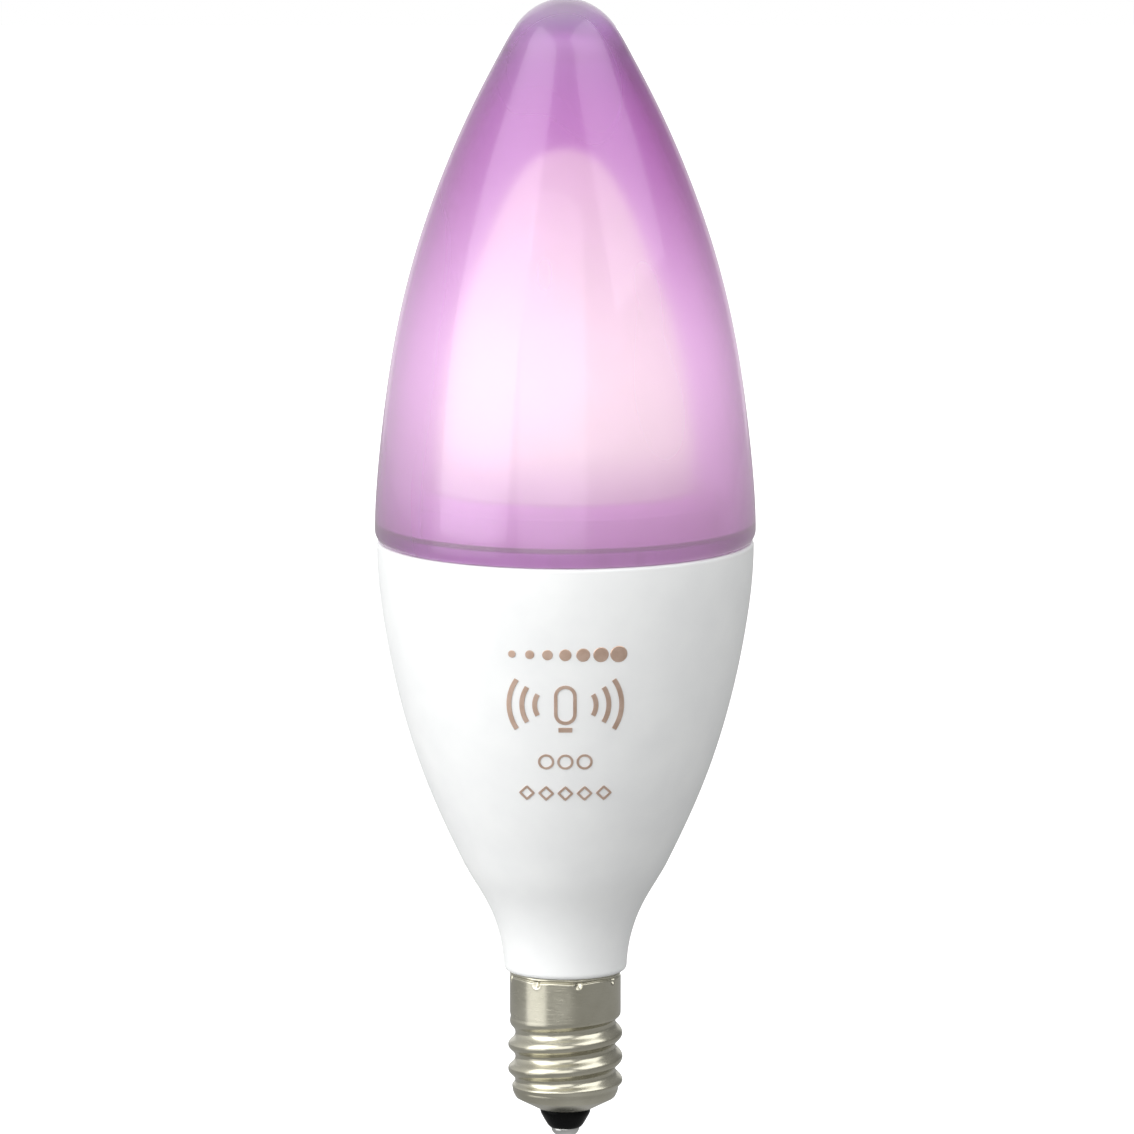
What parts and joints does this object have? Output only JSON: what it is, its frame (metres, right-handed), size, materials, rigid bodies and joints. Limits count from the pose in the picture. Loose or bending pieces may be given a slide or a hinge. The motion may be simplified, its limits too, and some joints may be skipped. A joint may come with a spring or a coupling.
{
  "type": "smart light bulb",
  "caption": "Candle-shaped smart LED bulb with a tinted diffusing globe, white housing and a candelabra screw cap.",
  "frame": {"origin": "end of the centre contact, on the bulb's axis, where it seats on the lampholder's contact", "axes": "+Z along the bulb's axis from the screw cap to the globe's tip, -Y towards the printed front, +X to the right seen from the front"},
  "size_m": [0.039, 0.039, 0.1178],
  "materials": {
    "globe": "clear polycarbonate tinted pink-violet, glossy, diffusing",
    "mixing_dome": "milky light-mixing polycarbonate, frosted",
    "dome_collar": "white reflective moulding",
    "globe_seal": "translucent grey silicone",
    "housing": "white moulded casing, satin-gloss",
    "printed_mark": "rose-gold metallic ink",
    "screw_shell": "nickel-plated sheet brass, bright, lightly rolled",
    "insulator": "black glass, glossy",
    "center_contact": "nickel-plated brass, polished",
    "solder": "tin solder, bright",
    "led_board": "white solder mask on aluminium",
    "led_board_screws": "zinc-plated steel",
    "led_packages": "white LED package body",
    "led_warm_white": "silicone with warm phosphor",
    "led_cool_white": "silicone with cool phosphor",
    "led_red": "clear silicone over a red die",
    "led_green": "clear silicone over a green die",
    "led_blue": "clear silicone over a blue die",
    "led_socket": "cream connector moulding",
    "pins": "gold-flashed brass",
    "thermal_pad": "grey filled silicone",
    "heat_spreader": "pressed aluminium",
    "heat_sink_cup": "deep-drawn aluminium",
    "driver_sleeve": "natural polypropylene insulation",
    "driver_board": "green solder mask on glass-epoxy",
    "radio_board": "dark blue solder mask on glass-epoxy",
    "radio_shield": "tinned steel can",
    "chip": "black epoxy moulding",
    "copper_trace": "gold-flashed copper",
    "capacitor_can": "drawn aluminium can",
    "capacitor_sleeve": "dark heat-shrink sleeve",
    "capacitor_bung": "black rubber",
    "tinned_wire": "tinned copper wire",
    "ferrite": "dark grey ferrite",
    "bobbin": "black phenolic bobbin",
    "magnet_wire": "enamelled copper wire, close wound",
    "tape": "yellow polyester tape",
    "film_capacitor": "orange box capacitor",
    "varistor": "blue epoxy-coated disc",
    "resistor_body": "grey-green coated resistor",
    "chip_capacitor": "tan ceramic with tinned ends"
  },
  "bodies": {
    "root": {"globe": "globe", "globe_seal": "globe_seal", "mixing_dome": "mixing_dome", "dome_collar": "dome_collar", "housing": "housing", "printed_mark": "printed_mark", "screw_shell": "screw_shell", "insulator": "insulator", "center_contact": "center_contact", "contact_solder": "solder", "led_board": "led_board", "led_board_screws": "led_board_screws", "led_packages": "led_packages", "led_warm_white": "led_warm_white", "led_cool_white": "led_cool_white", "led_red": "led_red", "led_green": "led_green", "led_blue": "led_blue", "led_socket": "led_socket", "led_header_pins": "pins", "thermal_pad": "thermal_pad", "heat_spreader": "heat_spreader", "heat_sink_cup": "heat_sink_cup", "driver_sleeve": "driver_sleeve", "driver_board": "driver_board", "radio_board": "radio_board", "radio_shield": "radio_shield", "radio_chip": "chip", "radio_antenna": "copper_trace", "radio_pins": "pins", "bulk_capacitor_can": "capacitor_can", "bulk_capacitor_sleeve": "capacitor_sleeve", "output_capacitor_can": "capacitor_can", "output_capacitor_sleeve": "capacitor_sleeve", "capacitor_bungs": "capacitor_bung", "capacitor_leads": "tinned_wire", "transformer_core": "ferrite", "transformer_bobbin": "bobbin", "transformer_winding": "magnet_wire", "transformer_tape": "tape", "transformer_pins": "tinned_wire", "choke_core": "ferrite", "choke_winding": "magnet_wire", "choke_leads": "tinned_wire", "film_capacitor": "film_capacitor", "varistor": "varistor", "rear_part_leads": "tinned_wire", "bridge_rectifier": "chip", "rectifier_leads": "tinned_wire", "fusible_resistor": "resistor_body", "live_leads": "tinned_wire", "neutral_lead": "tinned_wire", "driver_chips": "chip", "driver_chip_leads": "tinned_wire", "diodes": "chip", "chip_resistors": "chip", "chip_capacitors": "chip_capacitor"}
  },
  "joints": []
}
